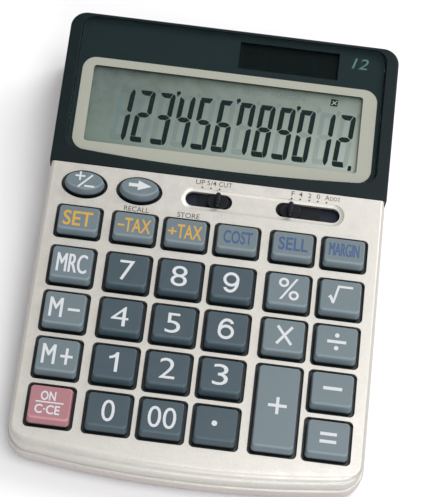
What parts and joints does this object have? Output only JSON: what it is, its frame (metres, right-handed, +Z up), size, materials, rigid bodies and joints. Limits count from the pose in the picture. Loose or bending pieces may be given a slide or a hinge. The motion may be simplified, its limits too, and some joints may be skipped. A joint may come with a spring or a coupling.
{
  "type": "desktop calculator",
  "caption": "Desktop calculator: wedge-shaped silver case with a raised dark display under a clear lens, square keys, two oval keys and two slide switches.",
  "frame": {"origin": "middle of the footprint, on the surface the rubber feet stand on", "axes": "+Z up, +Y from the front edge towards the display, +X to the right seen from the front"},
  "size_m": [0.133, 0.1854, 0.0356],
  "materials": {
    "case_pinkish": "fine texture",
    "cover_silver": "satin metallic paint",
    "housing_navy": "satin",
    "lens_clear": "polished",
    "print_dark": "satin",
    "frame_beige": "matt",
    "display_glass": "polished",
    "rubber_dark": "matt",
    "board_green": "solder mask",
    "cell_brown": "polished",
    "lead_red": "matt",
    "ribbon_grey": "matt",
    "chip_black": "potted resin",
    "can_metal": "bright",
    "mat_grey": "matt",
    "guide_grey": "matt",
    "plate_navy": "satin",
    "cell_steel": "bright",
    "contact_steel": "nickel plated",
    "screw_steel": "zinc plated",
    "feet_rubber": "matt",
    "knob_navy": "satin",
    "wiper_brass": "rolled",
    "key_dark": "satin",
    "key_light": "satin",
    "key_rose": "satin"
  },
  "bodies": {
    "case": {"battery_contact_minus": "contact_steel", "battery_contact_plus": "contact_steel", "battery_cover": "case_pinkish", "bottom_case": "case_pinkish", "button_cell": "cell_steel", "capacitor": "can_metal", "case_screws": "screw_steel", "contact_strips": "rubber_dark", "controller_chip": "chip_black", "display_board": "board_green", "display_frame": "frame_beige", "display_housing": "housing_navy", "display_lens": "lens_clear", "dome_mat": "mat_grey", "key_guide": "guide_grey", "lcd_glass": "display_glass", "main_board": "board_green", "printed_panel": "print_dark", "ribbon_cable": "ribbon_grey", "rubber_feet": "feet_rubber", "small_screws": "screw_steel", "solar_leads": "lead_red", "solar_panel": "cell_brown", "switch_plate": "plate_navy", "top_cover": "cover_silver"},
    "key_0": {"key_0": "key_dark"},
    "key_00": {"key_00": "key_dark"},
    "key_1": {"key_1": "key_dark"},
    "key_2": {"key_2": "key_dark"},
    "key_3": {"key_3": "key_dark"},
    "key_4": {"key_4": "key_dark"},
    "key_5": {"key_5": "key_dark"},
    "key_6": {"key_6": "key_dark"},
    "key_7": {"key_7": "key_dark"},
    "key_8": {"key_8": "key_dark"},
    "key_9": {"key_9": "key_dark"},
    "key_back_arrow": {"key_back_arrow": "key_light"},
    "key_clear": {"key_clear": "key_rose"},
    "key_cost": {"key_cost": "key_light"},
    "key_divide": {"key_divide": "key_light"},
    "key_equals": {"key_equals": "key_light"},
    "key_margin": {"key_margin": "key_light"},
    "key_memory_minus": {"key_memory_minus": "key_light"},
    "key_memory_plus": {"key_memory_plus": "key_light"},
    "key_memory_recall": {"key_memory_recall": "key_light"},
    "key_minus": {"key_minus": "key_light"},
    "key_percent": {"key_percent": "key_light"},
    "key_plus": {"key_plus": "key_light"},
    "key_point": {"key_point": "key_dark"},
    "key_root": {"key_root": "key_light"},
    "key_sell": {"key_sell": "key_light"},
    "key_set": {"key_set": "key_light"},
    "key_sign": {"key_sign": "key_light"},
    "key_tax_minus": {"key_tax_minus": "key_light"},
    "key_tax_plus": {"key_tax_plus": "key_light"},
    "key_times": {"key_times": "key_light"},
    "rounding_switch": {"rounding_knob": "knob_navy", "rounding_wiper": "wiper_brass"},
    "decimal_switch": {"decimal_knob": "knob_navy", "decimal_wiper": "wiper_brass"}
  },
  "joints": [
    {"name": "press_0", "type": "slide", "parent": "case", "child": "key_0", "axis": [0, 0.0872, -0.9962], "range_m": [0, 0.0016], "stiffness_N_per_m": 375, "deforming": ["dome_mat"]},
    {"name": "press_00", "type": "slide", "parent": "case", "child": "key_00", "axis": [0, 0.0872, -0.9962], "range_m": [0, 0.0016], "stiffness_N_per_m": 375, "deforming": ["dome_mat"]},
    {"name": "press_1", "type": "slide", "parent": "case", "child": "key_1", "axis": [0, 0.0872, -0.9962], "range_m": [0, 0.0016], "stiffness_N_per_m": 375, "deforming": ["dome_mat"]},
    {"name": "press_2", "type": "slide", "parent": "case", "child": "key_2", "axis": [0, 0.0872, -0.9962], "range_m": [0, 0.0016], "stiffness_N_per_m": 375, "deforming": ["dome_mat"]},
    {"name": "press_3", "type": "slide", "parent": "case", "child": "key_3", "axis": [0, 0.0872, -0.9962], "range_m": [0, 0.0016], "stiffness_N_per_m": 375, "deforming": ["dome_mat"]},
    {"name": "press_4", "type": "slide", "parent": "case", "child": "key_4", "axis": [0, 0.0872, -0.9962], "range_m": [0, 0.0016], "stiffness_N_per_m": 375, "deforming": ["dome_mat"]},
    {"name": "press_5", "type": "slide", "parent": "case", "child": "key_5", "axis": [0, 0.0872, -0.9962], "range_m": [0, 0.0016], "stiffness_N_per_m": 375, "deforming": ["dome_mat"]},
    {"name": "press_6", "type": "slide", "parent": "case", "child": "key_6", "axis": [0, 0.0872, -0.9962], "range_m": [0, 0.0016], "stiffness_N_per_m": 375, "deforming": ["dome_mat"]},
    {"name": "press_7", "type": "slide", "parent": "case", "child": "key_7", "axis": [0, 0.0872, -0.9962], "range_m": [0, 0.0016], "stiffness_N_per_m": 375, "deforming": ["dome_mat"]},
    {"name": "press_8", "type": "slide", "parent": "case", "child": "key_8", "axis": [0, 0.0872, -0.9962], "range_m": [0, 0.0016], "stiffness_N_per_m": 375, "deforming": ["dome_mat"]},
    {"name": "press_9", "type": "slide", "parent": "case", "child": "key_9", "axis": [0, 0.0872, -0.9962], "range_m": [0, 0.0016], "stiffness_N_per_m": 375, "deforming": ["dome_mat"]},
    {"name": "press_back_arrow", "type": "slide", "parent": "case", "child": "key_back_arrow", "axis": [0, 0.0872, -0.9962], "range_m": [0, 0.0016], "stiffness_N_per_m": 375, "deforming": ["dome_mat"]},
    {"name": "press_clear", "type": "slide", "parent": "case", "child": "key_clear", "axis": [0, 0.0872, -0.9962], "range_m": [0, 0.0016], "stiffness_N_per_m": 375, "deforming": ["dome_mat"]},
    {"name": "press_cost", "type": "slide", "parent": "case", "child": "key_cost", "axis": [0, 0.0872, -0.9962], "range_m": [0, 0.0016], "stiffness_N_per_m": 375, "deforming": ["dome_mat"]},
    {"name": "press_divide", "type": "slide", "parent": "case", "child": "key_divide", "axis": [0, 0.0872, -0.9962], "range_m": [0, 0.0016], "stiffness_N_per_m": 375, "deforming": ["dome_mat"]},
    {"name": "press_equals", "type": "slide", "parent": "case", "child": "key_equals", "axis": [0, 0.0872, -0.9962], "range_m": [0, 0.0016], "stiffness_N_per_m": 375, "deforming": ["dome_mat"]},
    {"name": "press_margin", "type": "slide", "parent": "case", "child": "key_margin", "axis": [0, 0.0872, -0.9962], "range_m": [0, 0.0016], "stiffness_N_per_m": 375, "deforming": ["dome_mat"]},
    {"name": "press_memory_minus", "type": "slide", "parent": "case", "child": "key_memory_minus", "axis": [0, 0.0872, -0.9962], "range_m": [0, 0.0016], "stiffness_N_per_m": 375, "deforming": ["dome_mat"]},
    {"name": "press_memory_plus", "type": "slide", "parent": "case", "child": "key_memory_plus", "axis": [0, 0.0872, -0.9962], "range_m": [0, 0.0016], "stiffness_N_per_m": 375, "deforming": ["dome_mat"]},
    {"name": "press_memory_recall", "type": "slide", "parent": "case", "child": "key_memory_recall", "axis": [0, 0.0872, -0.9962], "range_m": [0, 0.0016], "stiffness_N_per_m": 375, "deforming": ["dome_mat"]},
    {"name": "press_minus", "type": "slide", "parent": "case", "child": "key_minus", "axis": [0, 0.0872, -0.9962], "range_m": [0, 0.0016], "stiffness_N_per_m": 375, "deforming": ["dome_mat"]},
    {"name": "press_percent", "type": "slide", "parent": "case", "child": "key_percent", "axis": [0, 0.0872, -0.9962], "range_m": [0, 0.0016], "stiffness_N_per_m": 375, "deforming": ["dome_mat"]},
    {"name": "press_plus", "type": "slide", "parent": "case", "child": "key_plus", "axis": [0, 0.0872, -0.9962], "range_m": [0, 0.0016], "stiffness_N_per_m": 375, "deforming": ["dome_mat"]},
    {"name": "press_point", "type": "slide", "parent": "case", "child": "key_point", "axis": [0, 0.0872, -0.9962], "range_m": [0, 0.0016], "stiffness_N_per_m": 375, "deforming": ["dome_mat"]},
    {"name": "press_root", "type": "slide", "parent": "case", "child": "key_root", "axis": [0, 0.0872, -0.9962], "range_m": [0, 0.0016], "stiffness_N_per_m": 375, "deforming": ["dome_mat"]},
    {"name": "press_sell", "type": "slide", "parent": "case", "child": "key_sell", "axis": [0, 0.0872, -0.9962], "range_m": [0, 0.0016], "stiffness_N_per_m": 375, "deforming": ["dome_mat"]},
    {"name": "press_set", "type": "slide", "parent": "case", "child": "key_set", "axis": [0, 0.0872, -0.9962], "range_m": [0, 0.0016], "stiffness_N_per_m": 375, "deforming": ["dome_mat"]},
    {"name": "press_sign", "type": "slide", "parent": "case", "child": "key_sign", "axis": [0, 0.0872, -0.9962], "range_m": [0, 0.0016], "stiffness_N_per_m": 375, "deforming": ["dome_mat"]},
    {"name": "press_tax_minus", "type": "slide", "parent": "case", "child": "key_tax_minus", "axis": [0, 0.0872, -0.9962], "range_m": [0, 0.0016], "stiffness_N_per_m": 375, "deforming": ["dome_mat"]},
    {"name": "press_tax_plus", "type": "slide", "parent": "case", "child": "key_tax_plus", "axis": [0, 0.0872, -0.9962], "range_m": [0, 0.0016], "stiffness_N_per_m": 375, "deforming": ["dome_mat"]},
    {"name": "press_times", "type": "slide", "parent": "case", "child": "key_times", "axis": [0, 0.0872, -0.9962], "range_m": [0, 0.0016], "stiffness_N_per_m": 375, "deforming": ["dome_mat"]},
    {"name": "rounding_slide", "type": "slide", "parent": "case", "child": "rounding_switch", "axis": [1, 0, 0], "range_m": [-0.0069, 0]},
    {"name": "decimal_slide", "type": "slide", "parent": "case", "child": "decimal_switch", "axis": [1, 0, 0], "range_m": [0, 0.0138]}
  ]
}
